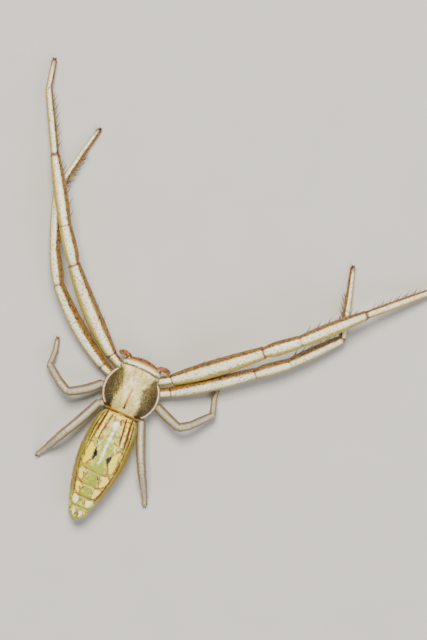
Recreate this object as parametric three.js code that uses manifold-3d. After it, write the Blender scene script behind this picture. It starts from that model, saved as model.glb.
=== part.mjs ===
// A life-size crab spider with a long belly, standing on a flat floor with its front legs spread.
// Millimetres. +Y is ahead of the spider, +X its right side, +Z up, and its feet stand on z = 0.
import * as THREE from "three";
import { mergeVertices } from "three/addons/utils/BufferGeometryUtils.js";
import Module from "manifold-3d";

const wasm = await Module();
wasm.setup();

// Driving sizes of the body
const SEAM = 0.08; // thin cut that parts neighbouring pieces
const SHIELD_RADIUS = 1.66; // the round back shield of the front body
const HEAD_HALF_WIDTH = 1.18;
const FACE_FRONT = 2.04; // how far ahead of the shield's centre the face reaches
const RIDGE_Y = 1.66; // the pale ridge across the head, at its middle
const BROW_BOW = 0.14; // how far the ridge's ends lie behind its middle
const SHIELD_REAR = -1.33;
const SHIELD_FLOOR = 1.45; // height of the shield's underside
const SHIELD_RIM = 0.09;
const SHIELD_TOP = 2.5;
const COXA_HEIGHT = 1.08;
const ABDOMEN_FRONT = SHIELD_REAR - SEAM;
const ABDOMEN_LENGTH = 6.6;
const ABDOMEN_DEPTH = 0.78; // half height as a share of half width

const COLOURS = {
  shield: "#8a7440",
  belly: "#c9c878",
  cream: "#dcd9a8",
  pale: "#cfc3a2",
  russet: "#a8623a",
  eye: "#1c1410",
};

const up = new THREE.Vector3(0, 1, 0);
const smooth = (a, b, x) => THREE.MathUtils.smoothstep(x, a, b);
const rounded = (value, power) => Math.sign(value) * Math.abs(value) ** power;

// Solids

function solidOf(geometry) {
  const bare = geometry.clone();
  bare.deleteAttribute("normal");
  bare.deleteAttribute("uv");
  const merged = mergeVertices(bare, 1e-5);
  return new wasm.Manifold(
    new wasm.Mesh({
      numProp: 3,
      vertProperties: merged.attributes.position.array,
      triVerts: new Uint32Array(merged.index.array),
    }),
  );
}

function geometryOf(solid) {
  const largest = solid.decompose().sort((a, b) => b.volume() - a.volume())[0];
  const { vertProperties, triVerts } = largest.getMesh();
  return new THREE.BufferGeometry()
    .setAttribute("position", new THREE.BufferAttribute(vertProperties, 3))
    .setIndex(new THREE.BufferAttribute(triVerts, 1));
}

const spider = new THREE.Group();

function addPiece(name, solid, colour, roughness = 0.6) {
  const geometry = geometryOf(solid).toNonIndexed();
  geometry.computeVertexNormals();
  const mesh = new THREE.Mesh(
    geometry,
    new THREE.MeshStandardMaterial({ color: colour, roughness, metalness: 0 }),
  );
  mesh.name = name;
  spider.add(mesh);
}

// Moves every vertex of a geometry through a function of its place.
function reshape(geometry, place) {
  const spots = geometry.getAttribute("position");
  const point = new THREE.Vector3();
  for (let i = 0; i < spots.count; i++) {
    place(point.fromBufferAttribute(spots, i));
    spots.setXYZ(i, point.x, point.y, point.z);
  }
  return geometry;
}

// A length of leg between two points: round, widest at a share of its length, with blunt ends.
function segment(from, to, [rootRadius, widest, tipRadius], widestAt = 0.4, sides = 10) {
  const length = from.distanceTo(to);
  const profile = [new THREE.Vector2(0, 0), new THREE.Vector2(0.72 * rootRadius, 0)];
  for (const share of [0.05, 0.2, widestAt, 0.7, 0.95]) {
    const swell =
      share < widestAt
        ? Math.sin((Math.PI / 2) * (share / widestAt))
        : Math.cos((Math.PI / 2) * ((share - widestAt) / (1 - widestAt)));
    const end = share < widestAt ? rootRadius : tipRadius;
    profile.push(new THREE.Vector2(end + (widest - end) * swell, share * length));
  }
  profile.push(new THREE.Vector2(0.72 * tipRadius, length), new THREE.Vector2(0, length));
  const turn = new THREE.Quaternion().setFromUnitVectors(
    up,
    to.clone().sub(from).normalize(),
  );
  return new THREE.LatheGeometry(profile, sides).applyQuaternion(turn).translate(...from);
}

// A tapered bristle from a root point along a direction.
function bristle(root, direction, length, radius) {
  const turn = new THREE.Quaternion().setFromUnitVectors(up, direction);
  return new THREE.ConeGeometry(radius, length, 5, 1)
    .translate(0, length / 2, 0)
    .applyQuaternion(turn)
    .translate(...root);
}

function joined(geometries) {
  return wasm.Manifold.union(geometries.map(solidOf));
}

// Keeps the side of a plane through point that the direction looks at, half a seam back from it.
function cutAt(solid, point, direction) {
  const normal = direction.clone().normalize();
  return solid.trimByPlane([...normal], normal.dot(point) + SEAM / 2);
}

// Front body

// The ridge and the front edge of the face bow forward in the middle.
const ridgeAt = (x) => RIDGE_Y - BROW_BOW * (x / HEAD_HALF_WIDTH) ** 2;

function shieldOutline(angle) {
  const sideways = Math.abs(Math.sin(angle));
  const ahead = Math.cos(angle);
  if (ahead < -0.6) return Math.min(SHIELD_RADIUS, SHIELD_REAR / ahead);
  if (ahead < 0 || sideways * SHIELD_RADIUS > HEAD_HALF_WIDTH) return SHIELD_RADIUS;
  const side = HEAD_HALF_WIDTH / Math.max(sideways, 1e-6);
  const front = (FACE_FRONT - 0.3 * (Math.min(side, 1.9) * sideways) ** 2) / ahead;
  return (side ** -12 + front ** -12) ** (-1 / 12);
}

function shieldTop(x, y, share) {
  const head = smooth(0.6, 1.35, y);
  const steepness = THREE.MathUtils.lerp(2.7, 9, head);
  const height = SHIELD_TOP - SHIELD_FLOOR - SHIELD_RIM;
  const dome = height * (1 - share ** steepness) ** 0.8;
  const rearSlope = 0.35 * smooth(-0.5, SHIELD_REAR, y);
  const brow = Math.max(0, y - ridgeAt(x));
  return SHIELD_FLOOR + SHIELD_RIM + Math.max(0, dome * (1 - rearSlope) - 1.5 * brow);
}

function shield() {
  const dome = new THREE.SphereGeometry(1, 40, 18).rotateX(Math.PI / 2);
  return reshape(dome, (p) => {
    const share = Math.min(1, Math.hypot(p.x, p.y));
    const angle = Math.atan2(p.x, p.y);
    const radius = share * shieldOutline(angle);
    const above = p.z > -1e-6;
    p.x = radius * Math.sin(angle);
    p.y = radius * Math.cos(angle);
    p.z = above ? shieldTop(p.x, p.y, share) : SHIELD_FLOOR;
  });
}

function browRidge() {
  const keel = new THREE.BoxGeometry(2, 2, 2, 12, 1, 1);
  return reshape(keel, (p) => {
    const x = p.x * (HEAD_HALF_WIDTH + 0.02);
    const fade = 1 - 0.35 * Math.abs(p.x) ** 3;
    const thin = p.z > 0 ? 0.045 : 0.1;
    p.set(
      x,
      ridgeAt(x) + thin * p.y,
      SHIELD_TOP - 0.25 + (p.z > 0 ? 0.31 * fade : -0.2) - 0.16 * p.x ** 4,
    );
  });
}

// Name, place and radius of each eye: two small pairs in the middle, two larger pairs at the ridge's ends.
const EYES = {
  front_median: { x: 0.24, y: 1.86, radius: 0.075 },
  front_side: { x: 1.0, y: 1.66, radius: 0.1 },
  rear_median: { x: 0.5, y: 1.42, radius: 0.06 },
  rear_side: { x: 1.1, y: 1.18, radius: 0.09 },
};

function eyeBall({ x, y, radius }, side) {
  const share = Math.hypot(x, y) / shieldOutline(Math.atan2(x, y));
  const sunk = 0.25 * radius;
  const height = shieldTop(x, y, Math.min(share, 0.97)) - sunk;
  return (clearance) =>
    new THREE.SphereGeometry(radius + clearance, 10, 6).translate(side * x, y, height);
}

function addFrontBody() {
  let body = joined([shield(), browRidge()]);
  const socket = 0.02;
  for (const [name, eye] of Object.entries(EYES))
    for (const [sideName, side] of [["left", -1], ["right", 1]]) {
      const ball = eyeBall(eye, side);
      body = body.subtract(solidOf(ball(socket)));
      addPiece(`eye_${name}_${sideName}`, solidOf(ball(0)), COLOURS.eye, 0.1);
    }
  addPiece("carapace", body, COLOURS.shield);

  const plate = new THREE.SphereGeometry(1, 22, 10).rotateX(Math.PI / 2);
  reshape(plate, (p) => {
    const high = p.z > 0 ? SHIELD_FLOOR - SEAM - COXA_HEIGHT : 0.38;
    p.set(0.86 * p.x, 0.02 + 1.08 * p.y, COXA_HEIGHT + high * rounded(p.z, 0.45));
  });
  let sternum = solidOf(plate);
  for (const leg of Object.values(LEGS))
    for (const side of [-1, 1]) {
      const [from, toward] = coxaLine(leg.coxa, side);
      sternum = cutAt(sternum, from, toward.clone().negate());
    }
  addPiece("sternum", sternum.trimByPlane([0, 1, 0], -1.0), COLOURS.pale);

  const lip = new THREE.SphereGeometry(1, 14, 8).scale(0.42, 0.2, 0.26);
  addPiece("mouthparts", solidOf(lip.translate(0, 1.33, 1.1)), COLOURS.pale);

  for (const [sideName, side] of [["left", -1], ["right", 1]]) {
    const root = new THREE.Vector3(side * 0.27, 1.74, SHIELD_FLOOR + 0.1);
    const tip = new THREE.Vector3(side * 0.22, 1.66, 0.72);
    const jaw = solidOf(segment(root, tip, [0.24, 0.25, 0.16], 0.35));
    addPiece(
      `chelicera_${sideName}`,
      jaw.trimByPlane([0, 0, -1], -(SHIELD_FLOOR - SEAM)),
      COLOURS.russet,
    );
    const fangRoot = new THREE.Vector3(side * 0.22, 1.64, 0.72 - SEAM / 2);
    const inward = new THREE.Vector3(-side * 0.55, -0.3, -0.6).normalize();
    const fang = bristle(fangRoot, inward, 0.3, 0.07);
    addPiece(
      `fang_${sideName}`,
      solidOf(fang).trimByPlane([0, 0, -1], -(0.72 - SEAM / 2)),
      COLOURS.russet,
    );

    const chain = PALP_JOINTS.map(([x, y, z]) => new THREE.Vector3(side * x, y, z));
    const lengths = PALP_RADII.map((radii, i) => segment(chain[i], chain[i + 1], radii, 0.5, 8));
    addPiece(`palp_${sideName}`, joined(lengths), COLOURS.russet);
  }
}

// The short feelers beside the jaws: joints from root to tip, and the radii of each length.
const PALP_JOINTS = [
  [0.56, 1.5, 1.12],
  [0.86, 1.79, 1.24],
  [1.11, 1.94, 1.26],
  [1.34, 1.94, 1.08],
  [1.52, 1.86, 0.76],
];
const PALP_RADII = [
  [0.12, 0.14, 0.13],
  [0.13, 0.15, 0.13],
  [0.12, 0.14, 0.12],
  [0.12, 0.13, 0.05],
];

// Long belly

// Half width against distance from the belly's front edge.
const HALF_WIDTH = new THREE.SplineCurve(
  [
    [0, 0.9],
    [0.45, 1.22],
    [1.3, 1.37],
    [2.5, 1.43],
    [3.6, 1.31],
    [4.7, 1.04],
    [5.45, 0.8],
    [5.72, 0.66],
    [6.05, 0.58],
    [6.35, 0.42],
    [ABDOMEN_LENGTH, 0.12],
  ].map(([along, half]) => new THREE.Vector2(along, half)),
);
// Creases between the last rings of the belly: distance from the front, and depth.
const CREASES = [
  [3.55, 0.035],
  [4.4, 0.045],
  [5.12, 0.06],
  [5.74, 0.1],
];
const CREASE_WIDTH = 0.07;

function halfWidth(along) {
  let share = along / ABDOMEN_LENGTH;
  for (let step = 0; step < 6; step++)
    share += (along - HALF_WIDTH.getPoint(share).x) / ABDOMEN_LENGTH;
  const creased = CREASES.reduce(
    (sum, [at, depth]) => sum + depth * Math.exp(-(((along - at) / CREASE_WIDTH) ** 2)),
    0,
  );
  return HALF_WIDTH.getPoint(THREE.MathUtils.clamp(share, 0, 1)).y - creased;
}

// Height of the belly's middle line: it hangs a little lower behind its front third.
const bellyLine = (along) => 1.52 - 0.12 * smooth(0, 2.5, along) - 0.1 * smooth(4.5, 6.6, along);

function addBelly() {
  const stations = [0.05, 0.2, 0.45, 0.9, 1.4, 1.9, 2.4, 2.9, 3.3];
  for (const [at] of CREASES)
    stations.push(at - CREASE_WIDTH * 1.6, at, at + CREASE_WIDTH * 1.6);
  stations.push(4.0, 4.8, 5.45, 6.05, 6.3, 6.48);
  stations.sort((a, b) => a - b);
  const profile = [new THREE.Vector2(0, 0), new THREE.Vector2(0.62 * halfWidth(0), 0)];
  for (const along of stations) profile.push(new THREE.Vector2(halfWidth(along), along));
  profile.push(new THREE.Vector2(0.1, ABDOMEN_LENGTH - 0.03), new THREE.Vector2(0, ABDOMEN_LENGTH));
  const belly = reshape(new THREE.LatheGeometry(profile, 30), (p) => {
    const along = p.y;
    const radius = Math.hypot(p.x, p.z);
    const around = Math.atan2(p.x, p.z);
    const depth = ABDOMEN_DEPTH + 0.2 * smooth(4.8, 6.2, along);
    p.set(
      -radius * rounded(Math.sin(around), 0.9),
      ABDOMEN_FRONT - along,
      bellyLine(along) + depth * radius * rounded(Math.cos(around), 0.9),
    );
  });
  let solid = solidOf(belly);
  const spinneretRoot = new THREE.Vector3(0, ABDOMEN_FRONT - 5.8, 0.94);
  const backDown = new THREE.Vector3(0, -0.75, -0.66).normalize();
  solid = solid.subtract(cutAt(solid, spinneretRoot, backDown));
  addPiece("abdomen", solid, COLOURS.belly);

  const tubes = [];
  for (const side of [-1, 1])
    for (const [down, length] of [[0.07, 0.42], [-0.07, 0.36]]) {
      const root = spinneretRoot.clone().add(new THREE.Vector3(side * 0.11, 0.02, 0));
      root.addScaledVector(new THREE.Vector3(0, 0.66, -0.75), down);
      const aim = backDown.clone().add(new THREE.Vector3(side * 0.12, 0, 0)).normalize();
      tubes.push(segment(root, root.clone().addScaledVector(aim, length), [0.12, 0.13, 0.07], 0.3, 8));
    }
  const cluster = cutAt(joined(tubes), spinneretRoot.clone().addScaledVector(backDown, SEAM), backDown);
  addPiece("spinnerets", cluster, COLOURS.cream);

  const waist = segment(
    new THREE.Vector3(0, -0.9, COXA_HEIGHT + 0.12),
    new THREE.Vector3(0, ABDOMEN_FRONT + 0.2, COXA_HEIGHT + 0.24),
    [0.25, 0.27, 0.25],
    0.5,
  );
  const stalk = solidOf(waist)
    .trimByPlane([0, -1, 0], 1.0 + SEAM)
    .trimByPlane([0, 1, 0], ABDOMEN_FRONT + SEAM)
    .trimByPlane([0, 0, -1], -(SHIELD_FLOOR - SEAM));
  addPiece("pedicel", stalk, COLOURS.pale);
}

// Legs

// Each leg pair: where its coxa leaves the breast plate and how it heads (degrees from straight ahead),
// and the radii of its lengths at root, widest part and tip. Coxa, trochanter, femur, patella, tibia, foot.
const LEGS = {
  1: {
    coxa: { x: 0.6, y: 0.85, heading: 58 },
    radii: {
      coxa: [0.25, 0.28, 0.27],
      femur: [0.33, 0.5, 0.37],
      patella: [0.26, 0.42, 0.36],
      tibia: [0.33, 0.4, 0.27],
      metatarsus: [0.24, 0.24, 0.2],
      tarsus: [0.19, 0.18, 0.14],
    },
  },
  2: {
    coxa: { x: 0.86, y: 0.28, heading: 60 },
    radii: {
      coxa: [0.25, 0.27, 0.26],
      femur: [0.29, 0.41, 0.32],
      patella: [0.26, 0.37, 0.3],
      tibia: [0.29, 0.34, 0.25],
      metatarsus: [0.23, 0.22, 0.19],
      tarsus: [0.18, 0.17, 0.14],
    },
  },
  3: {
    coxa: { x: 0.86, y: -0.29, heading: 82 },
    radii: {
      coxa: [0.24, 0.26, 0.25],
      femur: [0.25, 0.28, 0.25],
      patella: [0.25, 0.26, 0.24],
      tibia: [0.24, 0.24, 0.2],
      metatarsus: [0.19, 0.18, 0.16],
      tarsus: [0.15, 0.15, 0.13],
    },
  },
  4: {
    coxa: { x: 0.6, y: -0.86, heading: 116 },
    radii: {
      coxa: [0.24, 0.26, 0.25],
      femur: [0.25, 0.28, 0.25],
      patella: [0.25, 0.26, 0.24],
      tibia: [0.24, 0.24, 0.2],
      metatarsus: [0.19, 0.18, 0.16],
      tarsus: [0.15, 0.15, 0.13],
    },
  },
};

// Each leg's stance: the place of its trochanter, how far its femur bows outward, then for
// femur, patella, tibia, metatarsus and tarsus the length seen from above, the heading (degrees
// from straight ahead, out to its own side), and the end's height.
const STANCE = {
  leg_1_left: {
    hip: [1.88, 1.48, 1.3],
    bow: 0.12,
    lengths: [5.55, 2.18, 4.13, 3.9, 1.74],
    headings: [46.5, 37, 33, 30, 14],
    heights: [2.6, 2.6, 1.75, 0.72, 0.12],
  },
  leg_1_right: {
    hip: [1.8, 1.58, 1.3],
    bow: 0.05,
    lengths: [5.5, 2.1, 4.05, 3.75, 1.74],
    headings: [49, 49, 44, 46, 42],
    heights: [2.6, 2.6, 1.75, 0.72, 0.12],
  },
  leg_2_left: {
    hip: [2.05, 0.74, 1.05],
    bow: 0.2,
    lengths: [5.3, 1.9, 3.43, 2.73, 1.59],
    headings: [53, 31, 22, -9, -11],
    heights: [1.6, 1.5, 1.0, 0.4, 0.12],
  },
  leg_2_right: {
    hip: [2.0, 0.9, 1.05],
    bow: 0.05,
    lengths: [5.0, 1.99, 3.32, 2.68, 1.55],
    headings: [53, 50, 41, -15, -16],
    heights: [1.6, 1.5, 1.0, 0.4, 0.12],
  },
  leg_3_left: {
    hip: [1.72, -0.18, 1.1],
    bow: 0.12,
    lengths: [2.05, 0.7, 1.1, 0.85, 0.75],
    headings: [127, 63, 55, 3, 16],
    heights: [1.7, 1.55, 0.8, 0.3, 0.12],
  },
  leg_3_right: {
    hip: [1.68, -0.12, 1.1],
    bow: 0.04,
    lengths: [1.7, 0.65, 1.4, 0.96, 0.75],
    headings: [110, 57, 42, -18, -6],
    heights: [1.7, 1.55, 0.8, 0.3, 0.12],
  },
  leg_4_left: {
    hip: [1.42, -1.22, 1.1],
    bow: 0.04,
    lengths: [2.57, 0.5, 0.75, 0.5, 0.45],
    headings: [155, 155, 154, 153, 153],
    heights: [1.65, 1.5, 0.8, 0.3, 0.12],
  },
  leg_4_right: {
    hip: [1.2, -1.22, 1.1],
    bow: 0.04,
    lengths: [2.45, 0.55, 0.85, 0.6, 0.5],
    headings: [156, 152, 150, 151, 158],
    heights: [1.65, 1.5, 0.8, 0.3, 0.12],
  },
};

function along(start, length, heading, height, side) {
  const angle = THREE.MathUtils.degToRad(heading);
  return new THREE.Vector3(
    start.x + side * length * Math.sin(angle),
    start.y + length * Math.cos(angle),
    height,
  );
}

function coxaLine({ x, y, heading }, side) {
  const from = new THREE.Vector3(side * x, y, COXA_HEIGHT);
  const to = along(from, 1, heading, COXA_HEIGHT, side);
  return [from, to.sub(from)];
}

// Rows of stout bristles under the inner side of a length of a front leg.
function bristleRow(from, to, radii, side, count) {
  const axis = to.clone().sub(from).normalize();
  const inner = new THREE.Vector3(-axis.y, axis.x, 0).normalize().multiplyScalar(side);
  const row = [];
  for (let i = 0; i < count; i++)
    for (const drop of [-0.25, -0.95]) {
      const share = 0.14 + (0.76 * (i + (drop < -0.5 ? 0.4 : 0))) / count;
      const radius = THREE.MathUtils.lerp(radii[0], radii[2], share);
      const out = inner.clone().add(new THREE.Vector3(0, 0, drop)).normalize();
      const root = from.clone().lerp(to, share).addScaledVector(out, 0.6 * radius);
      const lean = out.clone().addScaledVector(axis, 1.25).normalize();
      row.push(bristle(root, lean, 0.4 * radius + 0.42, 0.075));
    }
  return row;
}

function addLeg(name, { hip, bow, lengths, headings, heights }) {
  const [, pair, sideName] = name.split("_");
  const side = sideName === "left" ? -1 : 1;
  const { coxa, radii } = LEGS[pair];
  const [coxaFrom, coxaAim] = coxaLine(coxa, side);
  const joints = [new THREE.Vector3(side * hip[0], hip[1], hip[2])];
  lengths.forEach((length, i) =>
    joints.push(along(joints[i], length, headings[i], heights[i], side)),
  );
  const [trochanter, knee, , ankle, heel, toe] = joints;
  const parts = ["femur", "patella", "tibia", "metatarsus", "tarsus"];
  const [femur, patella, tibia, metatarsus, tarsus] = parts.map((part, i) => {
    const run = joints[i + 1].clone().sub(joints[i]).normalize();
    const from = joints[i].clone().addScaledVector(run, i ? -0.12 : -0.06);
    const to = joints[i + 1].clone().addScaledVector(run, i < 4 ? 0.12 : 0);
    return segment(from, to, radii[part], part === "femur" ? 0.42 : 0.36);
  });
  const bearing = (i) => joints[i + 1].clone().sub(joints[i]).normalize();
  const outward = new THREE.Vector3(bearing(0).y, -bearing(0).x, 0).normalize().multiplyScalar(side);
  reshape(femur, (p) => {
    const share = p.clone().sub(trochanter).dot(bearing(0)) / trochanter.distanceTo(knee);
    p.addScaledVector(outward, bow * Math.sin(Math.PI * THREE.MathUtils.clamp(share, 0, 1)));
  });
  const bisector = (i) => bearing(i - 1).add(bearing(i));
  const front = pair < 3;

  const hipLength = segment(
    coxaFrom.clone().addScaledVector(coxaAim, -0.1),
    trochanter.clone().addScaledVector(bearing(0), 0.1),
    radii.coxa,
    0.5,
  );
  const collar = new THREE.SphereGeometry(radii.coxa[1] * 1.02, 10, 6).translate(...trochanter);
  let thigh = cutAt(joined([hipLength, collar, femur]), coxaFrom, coxaAim);
  thigh = cutAt(thigh, knee, bisector(1).negate());
  addPiece(`${name}_femur`, thigh, front ? COLOURS.cream : COLOURS.pale);

  let knuckle = cutAt(solidOf(patella), knee, bisector(1));
  knuckle = cutAt(knuckle, joints[2], bisector(2).negate());
  addPiece(`${name}_patella`, knuckle, front ? COLOURS.cream : COLOURS.pale);

  const shinSpines = front ? bristleRow(joints[2], ankle, radii.tibia, side, 5) : [];
  let shin = cutAt(joined([tibia, ...shinSpines]), joints[2], bisector(2));
  shin = cutAt(shin, ankle, bisector(3).negate());
  addPiece(`${name}_tibia`, shin, front ? COLOURS.cream : COLOURS.pale);

  const footSpines = front ? bristleRow(ankle, heel, radii.metatarsus, side, 6) : [];
  const sole = new THREE.SphereGeometry(radii.tarsus[2] * 1.15, 10, 6).translate(...toe);
  const foot = cutAt(joined([metatarsus, tarsus, sole, ...footSpines]), ankle, bisector(3));
  addPiece(
    `${name}_foot`,
    foot.trimByPlane([0, 0, 1], 0),
    front ? COLOURS.cream : COLOURS.pale,
  );
}

addFrontBody();
addBelly();
for (const [name, stance] of Object.entries(STANCE)) addLeg(name, stance);

// The origin is the middle of the whole spider's box, on the floor.
const reach = new THREE.Box3().setFromObject(spider);
const centre = reach.getCenter(new THREE.Vector3());
const placed = new THREE.Group();
spider.position.set(-centre.x, -centre.y, -reach.min.z);
placed.add(spider);

export default placed;
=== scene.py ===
"""A slender crab spider standing still.

It has a pale ridged head, a dark-sided shield, a long patterned belly and long front legs.
"""

import math
import random
from collections import namedtuple

import bmesh
import bpy
import numpy as np
from mathutils import Matrix, Vector


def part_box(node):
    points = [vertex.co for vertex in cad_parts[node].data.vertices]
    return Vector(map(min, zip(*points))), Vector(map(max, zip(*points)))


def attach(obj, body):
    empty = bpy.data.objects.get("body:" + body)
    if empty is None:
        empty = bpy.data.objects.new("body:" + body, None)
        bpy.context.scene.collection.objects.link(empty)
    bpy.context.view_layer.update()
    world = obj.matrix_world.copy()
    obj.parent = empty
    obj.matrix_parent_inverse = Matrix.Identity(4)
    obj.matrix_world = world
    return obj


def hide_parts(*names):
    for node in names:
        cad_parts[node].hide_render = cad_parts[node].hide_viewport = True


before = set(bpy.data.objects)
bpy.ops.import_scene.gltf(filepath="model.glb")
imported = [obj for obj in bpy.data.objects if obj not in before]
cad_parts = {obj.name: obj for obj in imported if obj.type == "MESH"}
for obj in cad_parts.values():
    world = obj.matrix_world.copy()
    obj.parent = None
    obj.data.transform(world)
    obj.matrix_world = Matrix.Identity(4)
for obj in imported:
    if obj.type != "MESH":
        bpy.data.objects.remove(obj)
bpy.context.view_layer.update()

MM = 0.001
DICE = random.Random(7)

# All sizes below are millimetres from the middle of the round shield, at floor level:
# x to the spider's right, y ahead of it, z up.
SHIELD_RADIUS = 1.66
HEAD_HALF_WIDTH = 1.18
FACE_FRONT = 2.04
FACE_BOW = 0.3  # how far the face's front edge falls back a millimetre to the side
RIDGE_Y = 1.66
BROW_BOW = 0.14
SHIELD_REAR = -1.33
SHIELD_FLOOR = 1.45
SHIELD_RIM = 0.09
SHIELD_TOP = 2.5
COXA_HEIGHT = 1.08
ABDOMEN_FRONT = -1.41
ABDOMEN_LENGTH = 6.6
ABDOMEN_DEPTH = 0.78  # half height of the belly as a share of its half width
TAIL_ROUNDING = 0.2  # added to that share at the tail
SKIN_LEAD = 0.04  # how far the belly's skin starts ahead of its solid

belly_low, belly_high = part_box("abdomen")
HOME = Vector(((belly_low.x + belly_high.x) / 2, belly_high.y - ABDOMEN_FRONT * MM, 0))
TO_ROW = Matrix.Translation(HOME) @ Matrix.Scale(MM, 4)

# Camera

VIEW_MIDDLE = (2.57, 5.68, 1.5)
VIEW_HEIGHT = 36.35
VIEW_TURN = 24.3  # degrees that the spider leans to the left of upright in the picture
CAMERA_DISTANCE = 240
SENSOR_WIDTH = 36


def add_camera():
    data = bpy.data.cameras.new("camera")
    data.sensor_width = SENSOR_WIDTH
    data.lens = SENSOR_WIDTH * CAMERA_DISTANCE / VIEW_HEIGHT
    data.clip_start = 0.01
    data.clip_end = 5
    camera = bpy.data.objects.new("camera", data)
    camera.location = TO_ROW @ Vector(VIEW_MIDDLE) + Vector((0, 0, CAMERA_DISTANCE * MM))
    camera.rotation_euler = (0, 0, math.radians(VIEW_TURN))
    bpy.context.collection.objects.link(camera)
    bpy.context.scene.camera = camera


add_camera()

# Small shared sums


def clamp(value, low=0.0, high=1.0):
    return max(low, min(high, value))


def smooth(low, high, value):
    share = clamp((value - low) / (high - low))
    return share * share * (3 - 2 * share)


def rounded(value, power):
    return math.copysign(abs(value) ** power, value)


def bump_of(distance, width):
    return math.exp(-((distance / width) ** 2))


# Meshes


def turned(profile, sides):
    """A closed round solid spun from (radius, height) pairs that start and end on the axis."""
    bm = bmesh.new()
    verts = [bm.verts.new((radius, 0, height)) for radius, height in profile]
    edges = [bm.edges.new(pair) for pair in zip(verts, verts[1:])]
    bmesh.ops.spin(
        bm,
        geom=verts + edges,
        cent=(0, 0, 0),
        axis=(0, 0, 1),
        angle=math.tau,
        steps=sides,
        use_merge=True,
    )
    bmesh.ops.remove_doubles(bm, verts=bm.verts, dist=1e-5)
    bmesh.ops.recalc_face_normals(bm, faces=bm.faces)
    return bm


def ball(u, v):
    bm = bmesh.new()
    bmesh.ops.create_uvsphere(bm, u_segments=u, v_segments=v, radius=1)
    return bm


def add_to(bm, part):
    """Adds a mesh and its skin places to another mesh."""
    spare = bpy.data.meshes.new("spare")
    part.to_mesh(spare)
    part.free()
    bm.from_mesh(spare)
    bpy.data.meshes.remove(spare)


def axes_along(start, end, inner):
    """A matrix whose z runs from start to end, x towards the inner side and y upwards."""
    run = (end - start).normalized()
    side = (inner - run * inner.dot(run)).normalized()
    above = run.cross(side)
    turn = Matrix((side, above, run)).transposed().to_4x4()
    return Matrix.Translation(start) @ turn


def add_piece(name, bm, material, replaced=(), fields=None):
    """Places a millimetre mesh in the row frame, with any fields that its pattern reads."""
    if fields:
        places = np.array([v.co for v in bm.verts])
        values = fields(places)
    for vertex in bm.verts:
        vertex.co.z = max(vertex.co.z, 0.0)
    bm.transform(TO_ROW)
    mesh = bpy.data.meshes.new(name)
    bm.to_mesh(mesh)
    bm.free()
    mesh.shade_smooth()
    if fields:
        for field, numbers in values.items():
            layer = mesh.attributes.new(field, "FLOAT", "POINT")
            layer.data.foreach_set("value", numbers.astype(np.float32))
    mesh.materials.append(material)
    piece = bpy.data.objects.new(name, mesh)
    bpy.context.collection.objects.link(piece)
    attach(piece, "root")
    if replaced:
        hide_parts(*replaced)
    return piece


# Materials

CUTICLE_IOR = 1.54
HORN_IOR = 1.55
FOOT_TIP_COLOUR = "#1a100a"

# A coat of colour: the field it follows, how far its edge wanders and how soft that edge is,
# both in millimetres, and its strength
Coat = namedtuple("Coat", "field colour ragged soft strength")

SHIELD_COATS = (
    Coat("head_loops", "#a8843c", 0.04, 0.05, 0.5),
    Coat("midline", "#ac7410", 0.03, 0.04, 0.9),
    Coat("fovea", "#2a1708", 0.01, 0.03, 1.0),
    Coat("rear_corner", "#1f1206", 0.05, 0.05, 0.9),
    Coat("margin_line", "#74400f", 0.015, 0.02, 0.95),
    Coat("margin", "#f8f0c4", 0.01, 0.015, 1.0),
    Coat("rim_line", "#8c4c14", 0.01, 0.02, 0.95),
    Coat("rear_edge", "#c48a20", 0.02, 0.03, 0.95),
    Coat("ridge_slope", "#dfe0a4", 0.03, 0.03, 0.9),
    Coat("behind_ridge", "#6a380a", 0.03, 0.03, 0.95),
    Coat("face", "#985a16", 0.02, 0.03, 1.0),
    Coat("ridge_front", "#e8ac18", 0.01, 0.02, 0.95),
    Coat("face_rim", "#6e3408", 0.03, 0.04, 0.9),
    Coat("eye_mounds", "#e2d79c", 0.03, 0.04, 0.9),
    Coat("eye_rings", "#2e160a", 0.02, 0.03, 0.9),
    Coat("ridge", "#fbfaf2", 0.02, 0.02, 1.0),
)
BELLY_COATS = (
    Coat("green", "#92a420", 0.16, 0.08, 0.7),
    Coat("halo", "#84400f", 0.06, 0.03, 0.9),
    Coat("cream", "#fcea68", 0.06, 0.03, 1.0),
    Coat("yellow", "#fde93a", 0.05, 0.03, 1.0),
    Coat("white", "#f6ffe6", 0.06, 0.06, 0.95),
    Coat("flank", "#9c8412", 0.03, 0.05, 1.0),
    Coat("flank_lines", "#5c4c08", 0.015, 0.02, 0.8),
    Coat("olive", "#4c3206", 0.015, 0.025, 1.0),
    Coat("tan", "#96581f", 0.022, 0.025, 1.0),
    Coat("red", "#6a1f0a", 0.02, 0.02, 1.0),
    Coat("leaf_rim", "#86a636", 0.03, 0.05, 0.9),
    Coat("black", "#100a06", 0.03, 0.03, 1.0),
)
UNDERSIDE_COATS = (
    Coat("under_band", "#8a7f4c", 0.08, 0.12, 0.8),
    Coat("under_marks", "#7a4a26", 0.03, 0.04, 0.85),
)


def colour(hex_code):
    """An sRGB hex colour as linear red, green, blue and alpha."""
    parts = [int(hex_code[i : i + 2], 16) / 255 for i in (1, 3, 5)]
    linear = [p / 12.92 if p <= 0.04045 else ((p + 0.055) / 1.055) ** 2.4 for p in parts]
    return (*linear, 1.0)


def per_mm(size):
    """The texture scale whose features are about size millimetres apart."""
    return 1 / (size * MM)


def add_node(tree, kind, inputs=None, **settings):
    """Adds one shader node; an input is a value or the socket that feeds it."""
    made = tree.nodes.new(kind)
    for name, value in settings.items():
        setattr(made, name, value)
    for key, value in (inputs or {}).items():
        socket = made.inputs[key]
        if isinstance(value, bpy.types.NodeSocket):
            tree.links.new(value, socket)
        else:
            socket.default_value = value
    return made


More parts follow.
